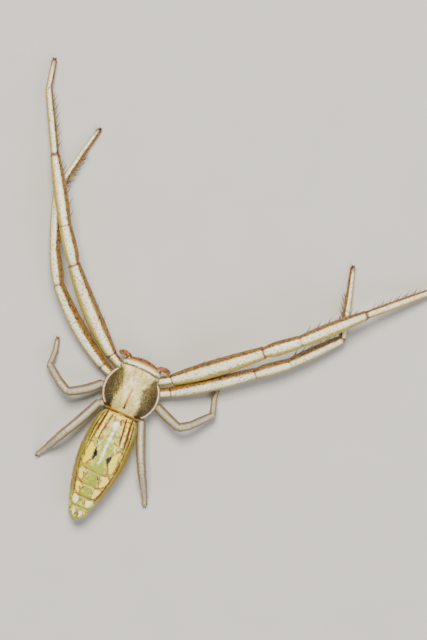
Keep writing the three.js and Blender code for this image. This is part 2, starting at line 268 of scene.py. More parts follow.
def new_material(name, **skin):
    """A material with one Principled shader, and the tree it sits in."""
    material = bpy.data.materials.new(name)
    material.use_nodes = True
    shader = material.node_tree.nodes["Principled BSDF"]
    for key, value in skin.items():
        shader.inputs[key.replace("_", " ").title().replace("Ior", "IOR")].default_value = value
    return material, material.node_tree, shader


def noise(tree, size, detail=3.0, roughness=0.6, stretch=None):
    """Even grain of about size millimetres on the piece's own coordinates, from 0 to 1."""
    place = add_node(tree, "ShaderNodeTexCoord").outputs["Object"]
    if stretch:
        place = add_node(tree, "ShaderNodeMapping", {"Vector": place, "Scale": stretch}).outputs[0]
    settings = {"Vector": place, "Scale": per_mm(size), "Detail": detail, "Roughness": roughness}
    return add_node(tree, "ShaderNodeTexNoise", settings).outputs["Fac"]


def sum_of(tree, operation, *values):
    """A sum, a product or another piece of arithmetic on values and sockets."""
    numbers = dict(enumerate(values))
    return add_node(tree, "ShaderNodeMath", numbers, operation=operation).outputs[0]


def fade(tree, value, start, end, low=0.0, high=1.0):
    """Turns a value into a share that goes from low at start to high at end."""
    ends = {"Value": value, "From Min": start, "From Max": end, "To Min": low, "To Max": high}
    return add_node(tree, "ShaderNodeMapRange", ends, interpolation_type="SMOOTHSTEP").outputs[0]


def blend(tree, share, under, over):
    """Mixes two colours, each a hex code or a socket."""
    pair = [colour(c) if isinstance(c, str) else c for c in (under, over)]
    inputs = {"Factor": share, 6: pair[0], 7: pair[1]}
    return add_node(tree, "ShaderNodeMix", inputs, data_type="RGBA").outputs[2]


def field(tree, name):
    """The number that a piece carries under this name."""
    return add_node(tree, "ShaderNodeAttribute", attribute_name=name).outputs["Fac"]


def paint(tree, skin, coats, edge):
    """Lays each coat where its field is below zero millimetres, with a soft wandering edge."""
    for coat in coats:
        wander = {0: edge, 1: 2 * coat.ragged, 2: -coat.ragged}
        shift = add_node(tree, "ShaderNodeMath", wander, operation="MULTIPLY_ADD").outputs[0]
        place = sum_of(tree, "ADD", field(tree, coat.field), shift)
        share = fade(tree, place, coat.soft, -coat.soft, 0.0, coat.strength)
        skin = blend(tree, share, skin, coat.colour)
    return skin


def relief(tree, shader, height, depth, strength=1.0):
    """Bumps the surface by a height field that is depth millimetres from low to high."""
    inputs = {"Height": height, "Distance": depth * MM, "Strength": strength}
    bumped = add_node(tree, "ShaderNodeBump", inputs)
    tree.links.new(bumped.outputs[0], shader.inputs["Normal"])


def shield_skin():
    """Hard skin of the back shield: cream with olive-brown sides, finely granular, satin."""
    material, tree, shader = new_material(
        "granular_cuticle",
        roughness=0.42,
        ior=CUTICLE_IOR,
        subsurface_weight=0.12,
        subsurface_scale=0.0003,
    )
    edge = fade(tree, noise(tree, 0.14), 0.3, 0.7)
    streaks = noise(tree, 0.09, 4.0, 0.7)
    grains = fade(tree, noise(tree, 0.075, 2.0, 0.5), 0.42, 0.66)
    clouds = fade(tree, noise(tree, 0.45), 0.35, 0.7)
    blotches = fade(tree, noise(tree, 0.16, 2.0), 0.48, 0.66, 0.0, 0.55)
    rosy = fade(tree, noise(tree, 0.22, 2.0), 0.5, 0.72)
    head = fade(tree, field(tree, "head"), 0.0, 0.9)
    cream = blend(tree, clouds, "#f4eeb0", "#dcca6c")
    cream = blend(tree, blotches, cream, "#c4a63e")
    cream = blend(tree, sum_of(tree, "MULTIPLY", rosy, head), cream, "#b48a50")
    dark = blend(tree, grains, "#2a1d08", "#625020")
    golden = blend(tree, grains, "#4a3c12", "#8c7a30")
    sideways = fade(tree, field(tree, "pale_band"), 0.1, 0.75)
    rearwards = fade(tree, field(tree, "rear"), 0.1, 1.1, 0.0, 0.9)
    olive = blend(tree, sideways, golden, dark)
    olive = blend(tree, rearwards, olive, "#2c1b08")
    olive = blend(tree, fade(tree, streaks, 0.6, 0.75), olive, "#8c7a3c")
    pale_coats = (Coat("pale_band", cream, 0.09, 0.14, 1.0), Coat("head_cap", cream, 0.05, 0.04, 1.0))
    skin = paint(tree, olive, pale_coats + SHIELD_COATS, edge)
    tree.links.new(skin, shader.inputs["Base Color"])
    height = sum_of(tree, "ADD", grains, sum_of(tree, "MULTIPLY", streaks, 0.6))
    relief(tree, shader, height, 0.012, 0.8)
    return material


def belly_skin():
    """Thin elastic skin of the belly: cream and yellow-green with red-brown lines, satin and pleated."""
    material, tree, shader = new_material(
        "belly_cuticle", roughness=0.38, ior=1.5, subsurface_weight=0.2, subsurface_scale=0.0004
    )
    edge = fade(tree, noise(tree, 0.2, 4.0), 0.32, 0.68)
    mottle = fade(tree, noise(tree, 0.34, 3.0), 0.4, 0.6)
    green_flecks = fade(tree, noise(tree, 0.22, 2.0), 0.5, 0.6)
    tan_flecks = fade(tree, noise(tree, 0.3, 2.0, 0.5), 0.54, 0.62, 0.0, 0.8)
    above = blend(tree, mottle, "#bcbc38", "#e8dc68")
    above = blend(tree, green_flecks, above, "#94a428")
    above = blend(tree, tan_flecks, above, "#ac7434")
    above = paint(tree, above, BELLY_COATS, edge)
    below = blend(tree, fade(tree, noise(tree, 0.3), 0.35, 0.65), "#cfc794", "#b5ab70")
    below = paint(tree, below, UNDERSIDE_COATS, edge)
    skin = blend(tree, fade(tree, field(tree, "upward"), -0.35, -0.05), below, above)
    tree.links.new(skin, shader.inputs["Base Color"])
    pleats = noise(tree, 0.05, 2.0, 0.5, (1.0, 0.25, 1.0))
    relief(tree, shader, sum_of(tree, "ADD", pleats, edge), 0.012, 0.6)
    return material


# top is a pale top stripe, partly the leg's own colour and partly painted highlight; strip is the brown
# inner strip and flecks, and also the painted shade down both sides
LegColours = namedtuple(
    "LegColours",
    "ground bright top outer strip strip_share grains grain_share joint joint_share",
)


def leg_ground_and_painted_light(tree, colours, inwards, upwards, above):
    """Pale on top, partly as painted highlight, and golden outside; flecked, and browner towards the sides
    as painted shade.
    """
    clouds = fade(tree, noise(tree, 0.3, 3.0), 0.35, 0.7)
    flecks = fade(tree, noise(tree, 0.09, 2.0, 0.5), 0.5, 0.62, 0.0, 0.3)
    skin = blend(tree, clouds, colours.ground, colours.bright)
    # Painted highlight along the top of the leg, laid over its own pale top stripe
    skin = blend(tree, fade(tree, upwards, 0.9, 1.15), skin, colours.top)
    skin = blend(tree, fade(tree, inwards, -0.25, -0.7, 0.0, 0.9), skin, colours.outer)
    skin = blend(tree, flecks, skin, colours.strip)
    # Painted shade: the skin turns browner towards both sides, where the round leg turns away from the light
    # above
    return blend(tree, fade(tree, above, 0.45, 0.12, 0.0, 0.6), skin, colours.strip)


def leg_spots(tree, inwards, high):
    """Where the dark specks are: close together on the inner strip and sparse on top."""
    specks = fade(tree, noise(tree, 0.085, 1.0, 0.4), 0.5, 0.58)
    raised = fade(tree, high, 0.0, 1.0, 0.35, 1.0)
    band = sum_of(tree, "MULTIPLY", raised, fade(tree, inwards, 0.4, 0.7))
    top_specks = fade(tree, noise(tree, 0.1, 1.0, 0.4), 0.61, 0.67, 0.0, 0.7)
    return sum_of(tree, "MAXIMUM", sum_of(tree, "MULTIPLY", specks, band), top_specks)


def leg_ends(tree, skin, colours, along):
    """Darkens the ends of each length, the ankle and the foot's tip."""
    share = sum_of(tree, "FRACT", along)
    to_end = sum_of(tree, "ABSOLUTE", sum_of(tree, "SUBTRACT", share, 0.5))
    ankle = sum_of(tree, "ABSOLUTE", sum_of(tree, "SUBTRACT", along, 3.0))
    skin = blend(tree, fade(tree, to_end, 0.455, 0.485, 0.0, colours.joint_share), skin, colours.joint)
    skin = blend(tree, fade(tree, ankle, 0.075, 0.03, 0.0, colours.joint_share), skin, colours.joint)
    skin = blend(tree, fade(tree, along, 4.6, 4.98, 0.0, 0.9), skin, colours.joint)
    return blend(tree, fade(tree, along, 4.88, 4.97), skin, FOOT_TIP_COLOUR)


def leg_skin(name, colours):
    """Hard thin skin of a leg: pale on top, partly as painted highlight, golden at the edges and browned
    there as painted shade, with a brown grainy strip inside.
    """
    material, tree, shader = new_material(
        name, roughness=0.36, ior=CUTICLE_IOR, subsurface_weight=0.2, subsurface_scale=0.0004
    )
    place = add_node(tree, "ShaderNodeAttribute", attribute_name="skin_place").outputs["Vector"]
    inner, above, along = add_node(tree, "ShaderNodeSeparateXYZ", {0: place}).outputs
    wander = sum_of(tree, "MULTIPLY", noise(tree, 0.12, 2.0), 0.3)
    inwards = sum_of(tree, "ADD", inner, wander)
    upwards = sum_of(tree, "ADD", above, wander)
    high = fade(tree, upwards, -0.35, 0.0)
    strip = sum_of(tree, "MULTIPLY", high, fade(tree, inwards, 0.5, 0.75))
    spots = leg_spots(tree, inwards, high)
    skin = leg_ground_and_painted_light(tree, colours, inwards, upwards, above)
    skin = blend(tree, sum_of(tree, "MULTIPLY", strip, colours.strip_share), skin, colours.strip)
    skin = blend(tree, fade(tree, above, -0.2, -0.8, 0.0, 0.6), skin, colours.ground)
    skin = blend(tree, sum_of(tree, "MULTIPLY", spots, colours.grain_share), skin, colours.grains)
    skin = leg_ends(tree, skin, colours, along)
    tree.links.new(skin, shader.inputs["Base Color"])
    height = sum_of(tree, "ADD", noise(tree, 0.06, 2.0), sum_of(tree, "MULTIPLY", spots, 0.8))
    relief(tree, shader, height, 0.01, 0.7)
    return material


def plain_skin(name, light, dark, size, roughness, depth=0.008):
    """Mottled hard skin of the small parts."""
    material, tree, shader = new_material(
        name, roughness=roughness, ior=CUTICLE_IOR, subsurface_weight=0.15, subsurface_scale=0.0003
    )
    cloud = noise(tree, size, 4.0)
    skin = blend(tree, fade(tree, cloud, 0.35, 0.68), light, dark)
    tree.links.new(skin, shader.inputs["Base Color"])
    relief(tree, shader, noise(tree, size / 3, 2.0), depth, 0.7)
    return material


def clouded(name, colours, size, spread=0.15, detail=1.0, **skin):
    """A smooth material that wanders between two colours in clouds of about size millimetres."""
    material, tree, shader = new_material(name, **skin)
    clouds = fade(tree, noise(tree, size, detail), 0.5 - spread, 0.5 + spread)
    tree.links.new(blend(tree, clouds, *colours), shader.inputs["Base Color"])
    return material


SHIELD = shield_skin()
BELLY = belly_skin()
FRONT_COLOURS = LegColours(
    ground="#c6b244",
    bright="#dccf74",
    # top: pale top stripe, partly painted highlight
    top="#fffbdc",
    outer="#b09c30",
    strip="#8a5a10",
    strip_share=0.9,
    grains="#33200a",
    grain_share=0.95,
    joint="#6c2a0c",
    joint_share=0.9,
)
REAR_COLOURS = LegColours(
    ground="#857858",
    bright="#9c9174",
    # top: pale top stripe, partly painted highlight
    top="#b6af98",
    outer="#857440",
    strip="#6c562c",
    strip_share=0.5,
    grains="#6c4c28",
    grain_share=0.4,
    joint="#7c5228",
    joint_share=0.5,
)
FRONT_LEG = leg_skin("front_leg_cuticle", FRONT_COLOURS)
REAR_LEG = leg_skin("rear_leg_cuticle", REAR_COLOURS)
PALE = plain_skin("pale_cuticle", "#d8c48c", "#b09058", 0.3, 0.45)
ORANGE = plain_skin("orange_cuticle", "#a4682c", "#74380f", 0.2, 0.5)
DARK = plain_skin("dark_fang_cuticle", "#3a1a0c", "#1c0c06", 0.1, 0.2, 0.003)
# Clear hard lens over a dark eye: nearly black with a wet shine
EYE = clouded("eye_lens", ("#0c0604", "#2a120a"), 0.05, 0.2, roughness=0.06, ior=1.56, coat_weight=0.6)
# Horny bristles: dark brown with paler stretches, and a narrow shine
BRISTLE = clouded("bristle_horn", ("#6a4a2a", "#2b180c"), 0.3, roughness=0.35, ior=HORN_IOR)
# Fine hair: straw coloured and slightly glossy
HAIR = clouded("fine_hair", ("#d8c8a0", "#9a7c50"), 0.4, roughness=0.4, ior=HORN_IOR)
# Pale card under the spider: matt, so that only the shadow shows on it
CARD = clouded("pale_card", ("#c8c6c1", "#cccac5"), 4.0, 0.3, 2.0, roughness=0.85)

# Marks on the skin: strokes of (x, y, half width) with x from the midline, mirrored left and right

FAR = 9.0  # further than any mark reaches


def beyond_stroke(places, stroke):
    """Millimetres from each place to the edge of a stroke, negative inside it."""
    nearest = np.full(len(places), FAR)
    for (x0, y0, w0), (x1, y1, w1) in zip(stroke, stroke[1:]):
        start, run = np.array((x0, y0)), np.array((x1 - x0, y1 - y0))
        share = np.clip((places - start) @ run / (run @ run), 0, 1)
        gap = np.linalg.norm(places - start - share[:, None] * run, axis=1)
        nearest = np.minimum(nearest, gap - (w0 + (w1 - w0) * share))
    return nearest


def beyond(places, strokes):
    """Millimetres from each place to the nearest of several strokes, negative inside one."""
    return np.min([beyond_stroke(places, stroke) for stroke in strokes], axis=0)


def line(distance, half_width):
    """Millimetres to the edge of a line that runs where the distance is zero."""
    return np.abs(distance) - half_width


# Back shield

DOME_STEEPNESS = 2.7
HEAD_STEEPNESS = 9.0
DOME_ROUNDING = 0.8
REAR_DROP = 0.35
BROW_FALL = 1.5
HEAD_CORNER = 12
RIDGE_HEIGHT = 0.09
PIT_Y = -0.9
PIT_DEPTH = 0.05
MOUND_HEIGHT = 0.05
FOLD_HEIGHT = 0.012
FOLD_COUNT = 9
LENS_SWELL = 1.03
MARGIN_WIDTH = 0.13

# Place and radius of each eye on the spider's right
EYES = {
    "front_median": (0.24, 1.86, 0.075),
    "front_side": (1.0, 1.66, 0.1),
    "rear_median": (0.5, 1.42, 0.06),
    "rear_side": (1.1, 1.18, 0.09),
}
# Strokes on the shield
SHIELD_MARKS = {
    "head_loops": [
        [(0.42, 1.25, 0.04), (0.5, 0.9, 0.05), (0.34, 0.55, 0.03)],
        [(0.12, 1.35, 0.03), (0.14, 0.95, 0.04), (0.1, 0.6, 0.02)],
        [(0.72, 1.2, 0.03), (0.66, 0.9, 0.03)],
    ],
    "midline": [[(0, 0.35, 0.01), (0, -0.1, 0.07), (0, -0.78, 0.07)]],
    "fovea": [[(0, -0.76, 0.03), (0, -0.96, 0.065)]],
    "rear_corner": [[(0.8, -1.18, 0.1), (1.05, -1.05, 0.06)]],
}
# Half width of the pale band at places from the rear edge to the head
BAND_PLACES = (-1.3, -0.55, -0.1, 0.45, 0.7, 1.15, 1.35)
BAND_HALF = (0.73, 0.74, 0.62, 0.56, 0.74, 0.92, 1.3)


def ridge_at(x):
    """How far ahead the white ridge lies, at a distance from the midline."""
    return RIDGE_Y - BROW_BOW * (x / HEAD_HALF_WIDTH) ** 2


def face_front(x):
    """How far ahead the face's lower edge lies, at a distance from the midline."""
    return FACE_FRONT - FACE_BOW * x**2


def shield_outline(angle):
    """Distance from the shield's middle to its edge, with the head as a blunt block ahead."""
    sideways, ahead = abs(math.sin(angle)), math.cos(angle)
    if ahead < -0.6:
        return min(SHIELD_RADIUS, SHIELD_REAR / ahead)
    if ahead < 0 or sideways * SHIELD_RADIUS > HEAD_HALF_WIDTH:
        return SHIELD_RADIUS
    side = HEAD_HALF_WIDTH / max(sideways, 1e-6)
    front = face_front(min(side, 1.9) * sideways) / ahead
    return (side**-HEAD_CORNER + front**-HEAD_CORNER) ** (-1 / HEAD_CORNER)


def eye_middle(name, side_name):
    """The middle of an eye's solid, in millimetres."""
    low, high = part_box(f"eye_{name}_{side_name}")
    return TO_ROW.inverted() @ ((low + high) / 2)


def beyond_eyes(places, names, times):
    """Millimetres from each place to the nearest named eye, taken as so many times its own radius."""
    gaps = []
    for name in names:
        for side_name in ("left", "right"):
            gap = np.linalg.norm(places - np.array(eye_middle(name, side_name)), axis=1)
            gaps.append(gap - times * EYES[name][2])
    return np.min(gaps, axis=0)


def shield_top(x, y, share):
    """Height of the smooth shield: a dome that turns flat and steep-sided at the head."""
    head = smooth(0.6, 1.35, y)
    steepness = DOME_STEEPNESS + (HEAD_STEEPNESS - DOME_STEEPNESS) * head
    dome = (SHIELD_TOP - SHIELD_FLOOR - SHIELD_RIM) * (1 - share**steepness) ** DOME_ROUNDING
    rear_slope = REAR_DROP * smooth(0.5, -SHIELD_REAR, -y)
    brow = max(0.0, y - ridge_at(x))
    return SHIELD_FLOOR + SHIELD_RIM + max(0.0, dome * (1 - rear_slope) - BROW_FALL * brow)


def shield_relief(x, y):
    """The raised white ridge, the sunken middle pit, low mounds round the eyes and faint folds."""
    ridge = RIDGE_HEIGHT * bump_of(y - ridge_at(x), 0.075) * smooth(1.24, 1.1, abs(x))
    pit = PIT_DEPTH * bump_of(x, 0.05) * bump_of(y - PIT_Y, 0.14)
    mounds = sum(
        MOUND_HEIGHT * bump_of(math.hypot(abs(x) - ex, y - ey), 1.5 * radius)
        for ex, ey, radius in EYES.values()
    )
    fold = math.sin(FOLD_COUNT * math.atan2(x, y - PIT_Y))
    folds = FOLD_HEIGHT * fold * smooth(0.3, 1.0, math.hypot(x, y + 0.5))
    return ridge - pit + mounds + folds


def shield_fields(places):
    """The distances that the shield's coats of colour follow."""
    x, y = np.abs(places[:, 0]), places[:, 1]
    spots = np.stack((x, y), axis=1)
    ridge = ridge_at(x)
    outline = np.array([shield_outline(angle) for angle in np.arctan2(x, y)])
    at_sides = (y < 1.0) & (y > -1.1)
    inside = np.where(at_sides, outline - np.hypot(x, y), FAR)
    values = {name: beyond(spots, strokes) for name, strokes in SHIELD_MARKS.items()}
    values["pale_band"] = x - np.interp(y, BAND_PLACES, BAND_HALF)
    values["head_cap"] = 1.2 - y
    values["head"] = y
    values["rear"] = -y
    values["margin_line"] = line(inside - MARGIN_WIDTH - 0.02, 0.035)
    values["margin"] = inside - MARGIN_WIDTH
    values["rim_line"] = line(inside - 0.01, 0.04)
    values["rear_edge"] = y - SHIELD_REAR - 0.09
    values["behind_ridge"] = line(y - ridge + 0.18, 0.06)
    values["ridge_slope"] = line(y - ridge + 0.11, 0.08)
    values["ridge_front"] = line(y - ridge - 0.12, 0.05)
    values["face"] = ridge + 0.06 - y
    values["face_rim"] = face_front(x) - 0.07 - y
    values["ridge"] = line(y - ridge, 0.08) + 0.07 * (x / HEAD_HALF_WIDTH) ** 4
    values["eye_mounds"] = beyond_eyes(places, ("front_side", "rear_side"), 1.9)
    front_rings = beyond_eyes(places, ("front_median",), 1.7)
    values["eye_rings"] = np.minimum(beyond_eyes(places, EYES, 1.25), front_rings)
    return values


def add_shield():
    bm = ball(200, 120)
    for vertex in bm.verts:
        share = min(1.0, math.hypot(vertex.co.x, vertex.co.y))
        angle = math.atan2(vertex.co.x, vertex.co.y)
        reach = share * shield_outline(angle)
        x, y = reach * math.sin(angle), reach * math.cos(angle)
        top = shield_top(x, y, share) + shield_relief(x, y) * (1 - share**8)
        z = top if vertex.co.z > -1e-6 else SHIELD_FLOOR - 0.02 * (1 - share)
        vertex.co = (x, y, z)
    bmesh.ops.smooth_vert(
        bm, verts=bm.verts, factor=0.3, use_axis_x=True, use_axis_y=True, use_axis_z=True
    )
    add_piece("carapace_skin", bm, SHIELD, ["carapace"], shield_fields)


def add_eyes():
    for name, (_, _, radius) in EYES.items():
        for side_name in ("left", "right"):
            eye = f"eye_{name}_{side_name}"
            place = Matrix.Translation(eye_middle(name, side_name))
            bm = ball(32, 20)
            bm.transform(place @ Matrix.Scale(radius * LENS_SWELL, 4))
            add_piece(f"{eye}_lens", bm, EYE, [eye])


# Belly

BELLY_ALONG = (0, 0.2, 0.45, 0.9, 1.3, 2.5, 3.6, 4.7, 5.45, 5.72, 6.05, 6.35, 6.6)
BELLY_HALF = (0.92, 1.08, 1.22, 1.32, 1.37, 1.43, 1.31, 1.04, 0.8, 0.66, 0.58, 0.45, 0.25)
CREASES = ((3.55, 0.035), (4.4, 0.045), (5.12, 0.06), (5.74, 0.1))
CREASE_WIDTH = 0.07
BELLY_ROUNDING = 0.9
FLANK_ALONG = (0, 0.5, 2.5, 3.6, 4.7, 5.6, 6.6)
FLANK_HALF = (0.95, 1.1, 1.15, 1.04, 0.8, 0.66, 0.6)
BLACK_PIT = (0.43, 2.6)  # where the belly is dented under each black mark
BLACK_PIT_DEPTH = 0.05


def belly_half(along):
    """Half width at a distance behind the belly's front, smoothed over neighbouring stations."""
    near = [np.interp(along + d, BELLY_ALONG, BELLY_HALF) for d in (-0.22, -0.11, 0, 0.11, 0.22)]
    creased = sum(depth * bump_of(along - at, CREASE_WIDTH) for at, depth in CREASES)
    end = math.sqrt(clamp(min(along / 0.12, (ABDOMEN_LENGTH - along) / 0.25)))
    return (sum(near) / 5 - creased) * (0.55 + 0.45 * end if along < 1 else end)


def belly_line(along):
    """Height of the belly's middle line, which sinks a little towards the tail."""
    return 1.52 - 0.12 * smooth(0, 2.5, along) - 0.1 * smooth(4.5, 6.6, along)


def belly_place(along, around, half):
    """A place on the belly's skin at an angle from its top, where it is so far half across."""
    depth = ABDOMEN_DEPTH + TAIL_ROUNDING * smooth(4.8, 6.2, along)
    return Vector(
        (
            half * rounded(math.sin(around), BELLY_ROUNDING),
            ABDOMEN_FRONT + SKIN_LEAD - along,
            belly_line(along) + depth * half * rounded(math.cos(around), BELLY_ROUNDING),
        )
    )


# Strokes on the belly, with y as the distance behind its front edge
BELLY_MARKS = {
    "red": [
        [(0.75, 0.05, 0.05), (0.81, 0.6, 0.065), (0.88, 1.05, 0.07), (0.92, 1.5, 0.045), (0.98, 2.0, 0.02)],
        [(0.41, 0.07, 0.03), (0.46, 0.45, 0.05), (0.52, 0.85, 0.05), (0.58, 1.2, 0.05)],
        [(0.58, 1.2, 0.05), (0.62, 1.6, 0.03), (0.55, 2.05, 0.02)],
        [(0.25, 0.08, 0.02), (0.17, 0.32, 0.045), (0.26, 0.5, 0.03)],
        [(0.1, 3.68, 0.01), (0.24, 3.72, 0.03), (0.36, 3.9, 0.015)],
        [(0.1, 4.45, 0.01), (0.22, 4.5, 0.03), (0.36, 4.75, 0.015)],
        [(0.0, 5.85, 0.04), (0.0, 6.0, 0.02), (0.1, 6.15, 0.04)],
        [(1.02, 3.4, 0.015), (0.96, 3.9, 0.025), (0.81, 4.4, 0.025), (0.68, 4.95, 0.03), (0.62, 5.3, 0.01)],
        [(0.38, 2.74, 0.02), (0.47, 2.9, 0.02), (0.6, 3.05, 0.02)],
    ],
    "tan": [
        [(0.58, 3.0, 0.02), (0.72, 3.28, 0.03), (0.82, 3.44, 0.02)],
        [(0.0, 3.54, 0.03), (0.5, 3.52, 0.035), (0.85, 3.4, 0.02)],
        [(0.4, 3.72, 0.015), (0.42, 3.95, 0.02), (0.5, 4.22, 0.015)],
        [(0.0, 4.4, 0.02), (0.4, 4.37, 0.03), (0.7, 4.24, 0.03), (0.88, 4.0, 0.02)],
        [(0.0, 5.1, 0.03), (0.4, 5.06, 0.035), (0.62, 4.93, 0.02)],
        [(0.98, 2.0, 0.015), (1.03, 2.6, 0.02), (0.99, 3.1, 0.02), (0.85, 3.4, 0.02)],
        [(0.1, 5.22, 0.02), (0.19, 5.38, 0.025), (0.1, 5.54, 0.02)],
        [(0.3, 5.9, 0.015), (0.34, 6.1, 0.02), (0.18, 6.3, 0.015)],
        [(0.12, 0.9, 0.01), (0.2, 1.3, 0.02), (0.38, 1.6, 0.02), (0.6, 1.7, 0.01)],
    ],
    "olive": [
        [(0.92, 0.2, 0.03), (1.02, 0.7, 0.045), (1.09, 1.2, 0.045), (1.1, 2.1, 0.035), (1.08, 3.0, 0.03)],
        [(1.08, 3.0, 0.03), (0.98, 3.8, 0.03), (0.83, 4.5, 0.025), (0.7, 5.0, 0.0)],
    ],
    "black": [[(0.5, 2.1, 0.0), (0.46, 2.38, 0.07), (0.42, 2.62, 0.13), (0.44, 2.9, 0.02)]],
    "yellow": [
        [(0.84, 2.04, 0.08), (0.74, 2.3, 0.18), (0.74, 2.7, 0.22), (0.8, 3.16, 0.15), (0.7, 3.3, 0.04)],
    ],
    "cream": [
        [(0.5, 3.68, 0.08), (0.76, 3.66, 0.14), (0.68, 4.02, 0.16), (0.6, 4.16, 0.06)],
        [(0.42, 4.56, 0.08), (0.64, 4.5, 0.12), (0.54, 4.78, 0.13), (0.46, 4.94, 0.05)],
        [(0.28, 5.3, 0.1), (0.52, 5.28, 0.16), (0.4, 5.46, 0.18)],
        [(0.2, 5.92, 0.1), (0.32, 5.96, 0.14), (0.22, 6.16, 0.14)],
        [(0.62, 0.1, 0.07), (0.7, 0.9, 0.08), (0.75, 1.6, 0.08)],
        [(0.1, 0.1, 0.12), (0.55, 0.06, 0.06), (0.95, 0.02, 0.04)],
    ],
    "white": [
        [(0.0, 0.42, 0.08), (0.0, 0.62, 0.15), (0.0, 0.9, 0.08), (0.0, 1.12, 0.05), (0.0, 1.5, 0.09)],
        [(0.0, 1.5, 0.09), (0.0, 1.9, 0.07), (0.0, 2.5, 0.05), (0.0, 3.1, 0.03)],
        [(0.42, 1.75, 0.025), (0.55, 2.0, 0.035)],
        [(0.2, 5.98, 0.1), (0.2, 6.12, 0.09)],
        [(0.42, 5.28, 0.12), (0.38, 5.42, 0.12)],
    ],
    "green": [
        [(0.0, 2.95, 0.3), (0.0, 3.35, 0.5)],
        [(0.0, 3.85, 0.3), (0.0, 4.2, 0.38)],
        [(0.0, 4.7, 0.25), (0.0, 4.95, 0.35)],
        [(0.2, 1.8, 0.16), (0.25, 2.6, 0.14)],
    ],
    "leaf_rim": [
        [(0.0, 5.7, 0.06), (0.4, 5.66, 0.05), (0.72, 5.45, 0.04), (0.9, 4.9, 0.04)],
        [(0.0, 6.45, 0.1), (0.3, 6.35, 0.07), (0.5, 6.0, 0.04)],
    ],
}


def belly_fields(places):
    """The distances that the belly's coats of colour follow."""
    x = np.abs(places[:, 0])
    along = ABDOMEN_FRONT - places[:, 1]
    middle = np.array([belly_line(a) for a in along])
    half = np.array([max(belly_half(a), 0.05) for a in along])
    spots = np.stack((x, along), axis=1)
    values = {name: beyond(spots, strokes) for name, strokes in BELLY_MARKS.items()}
    values["halo"] = np.minimum(values["yellow"], values["cream"]) - 0.045
    flank = np.interp(along, FLANK_ALONG, FLANK_HALF)
    values["flank"] = flank - x
    around = np.arctan2(places[:, 2] - middle, x)
    values["flank_lines"] = 0.9 - np.abs(np.sin(13 * around)) + (x < flank)
    values["upward"] = (places[:, 2] - middle) / half
    values["under_band"] = x - np.interp(along, (0, 1.0, 4.5, 6.6), (0.3, 0.55, 0.35, 0.1))
    values["under_marks"] = beyond(spots, UNDER_MARKS)
    return values


# The breathing slits and the furrow between them, and two rows of dots, on the belly's underside
UNDER_MARKS = [
    [(0.0, 1.25, 0.05), (0.35, 1.3, 0.03), (0.7, 1.15, 0.04)],
    [(0.35, 2.1, 0.04), (0.36, 2.16, 0.04)],
    [(0.34, 2.9, 0.04), (0.33, 2.96, 0.04)],
    [(0.28, 3.7, 0.035), (0.27, 3.76, 0.035)],
    [(0.2, 4.4, 0.03), (0.19, 4.46, 0.03)],
]


def add_belly():
    pit_x, pit_along = BLACK_PIT
    bm = ball(180, 260)
    bm.transform(Matrix.Rotation(math.radians(90), 4, "X"))
    for vertex in bm.verts:
        along = ABDOMEN_LENGTH * math.acos(clamp(vertex.co.y, -1, 1)) / math.pi
        around = math.atan2(vertex.co.x, vertex.co.z)
        half = belly_half(along)
        place = belly_place(along, around, half)
        if math.cos(around) > 0:
            near = bump_of(abs(half * math.sin(around)) - pit_x, 0.08) * bump_of(along - pit_along, 0.12)
            place.z -= BLACK_PIT_DEPTH * near
        vertex.co = place
    add_piece("abdomen_skin", bm, BELLY, ["abdomen"], belly_fields)


# Legs, with the same numbers as the solids

# One round stretch of a leg, palp or jaw: its ends, its radii at root, widest part and tip, the
# share of the way along at which it is widest, its place in the row and its sideways bow
Length = namedtuple("Length", "start end radii widest index bow")
STRAIGHT = Vector((0, 0, 0))
FEMUR_WIDEST = 0.42
LENGTH_WIDEST = 0.36
JOINT_OVERLAP = 0.12
HIP_OVERLAP = 0.06
BLUNT_END = 0.16
RIM_HEIGHT = 0.018
RIM_WIDTH = 0.05
RIM_SETBACK = 0.2
SECOND_LEG_ROLL = math.radians(18)
COXA_RADII = (0.24, 0.27, 0.27)
# Place of each pair's hip on the breast plate, and its heading from straight ahead
COXAE = {
    "1": (0.6, 0.85, 58),
    "2": (0.86, 0.28, 60),
    "3": (0.86, -0.29, 82),
    "4": (0.6, -0.86, 116),
}
# Radii of each length at its root, widest part and tip
REAR_RADII = (
    (0.25, 0.28, 0.25),
    (0.25, 0.26, 0.24),
    (0.24, 0.24, 0.2),
    (0.19, 0.18, 0.16),
    (0.15, 0.15, 0.13),
)
LEG_RADII = {
    "1": ((0.33, 0.5, 0.37), (0.26, 0.42, 0.36), (0.33, 0.4, 0.27), (0.24, 0.24, 0.2), (0.19, 0.18, 0.14)),
    "2": ((0.29, 0.41, 0.32), (0.26, 0.37, 0.3), (0.29, 0.34, 0.25), (0.23, 0.22, 0.19), (0.18, 0.17, 0.14)),
    "3": REAR_RADII,
    "4": REAR_RADII,
}
# Height of the far end of each length, for each pair
LEG_HEIGHTS = {
    "1": (2.6, 2.6, 1.75, 0.72, 0.12),
    "2": (1.6, 1.5, 1.0, 0.4, 0.12),
    "3": (1.7, 1.55, 0.8, 0.3, 0.12),
    "4": (1.65, 1.5, 0.8, 0.3, 0.12),
}
